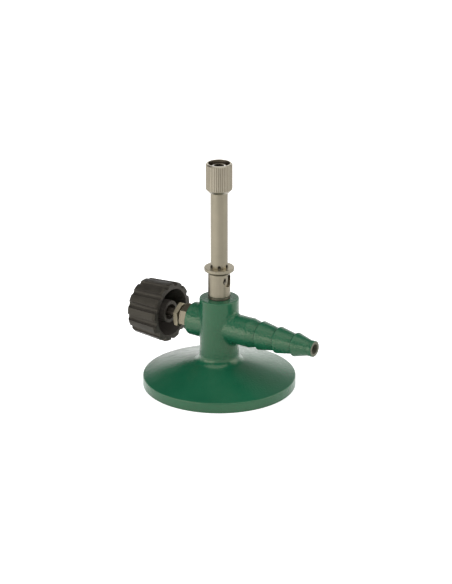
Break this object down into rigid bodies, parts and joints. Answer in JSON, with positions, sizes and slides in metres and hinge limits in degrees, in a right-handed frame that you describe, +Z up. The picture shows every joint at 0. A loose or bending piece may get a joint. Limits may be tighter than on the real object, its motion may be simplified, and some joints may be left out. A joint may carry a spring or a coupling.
{
  "type": "bunsen burner",
  "caption": "Small bench gas burner with a conical foot, stepped hose arm, fluted needle-valve knob, rotating air sleeve and knurled flame head.",
  "frame": {"origin": "middle of the face that the foot stands on", "axes": "+Z up along the burner tube, +X along the hose arm towards its tip, so the valve knob points along -X"},
  "size_m": [0.1082, 0.08, 0.1208],
  "materials": {
    "green_paint": "gloss stoved enamel on a casting",
    "nickel_plate": "satin nickel plate on turned brass",
    "brass": "bare turned brass",
    "knob_plastic": "moulded phenolic plastic, slightly worn",
    "seal_fibre": "dark fibre sealing ring",
    "packing_ptfe": "plain white packing",
    "spring_steel": "drawn wire"
  },
  "bodies": {
    "stand": {"base_casting": "green_paint", "gas_jet": "brass", "jet_washer": "seal_fibre", "tube_washer": "seal_fibre", "burner_tube": "nickel_plate", "sleeve_spring_ring": "spring_steel", "flame_head": "nickel_plate", "flame_nozzle": "nickel_plate", "valve_seat": "brass", "bonnet_gasket": "seal_fibre", "valve_bonnet": "nickel_plate", "stem_packing": "packing_ptfe", "gland_follower": "brass", "gland_nut": "nickel_plate"},
    "needle": {"needle_tip": "brass"},
    "knob": {"valve_spindle": "nickel_plate", "knob_bush": "brass", "valve_knob": "knob_plastic", "knob_screw": "spring_steel", "knob_screw_washer": "spring_steel", "knob_cap": "knob_plastic"},
    "sleeve": {"air_sleeve": "nickel_plate"}
  },
  "joints": [
    {"name": "needle_travel", "type": "slide", "parent": "stand", "child": "needle", "axis": [-1, 0, 0], "range_m": [0, 0.0025]},
    {"name": "knob_turn", "type": "hinge", "parent": "needle", "child": "knob", "pos_m": [-0.03, 0, 0.03278], "axis": [-1, 0, 0], "range_deg": [0, 900]},
    {"name": "air_sleeve_turn", "type": "hinge", "parent": "stand", "child": "sleeve", "pos_m": [0, 0, 0.0491], "axis": [0, 0, 1], "continuous": true}
  ],
  "couplings": [
    {"joint": "needle_travel", "follows": "knob_turn", "m_per_rad": 0.00015915}
  ]
}
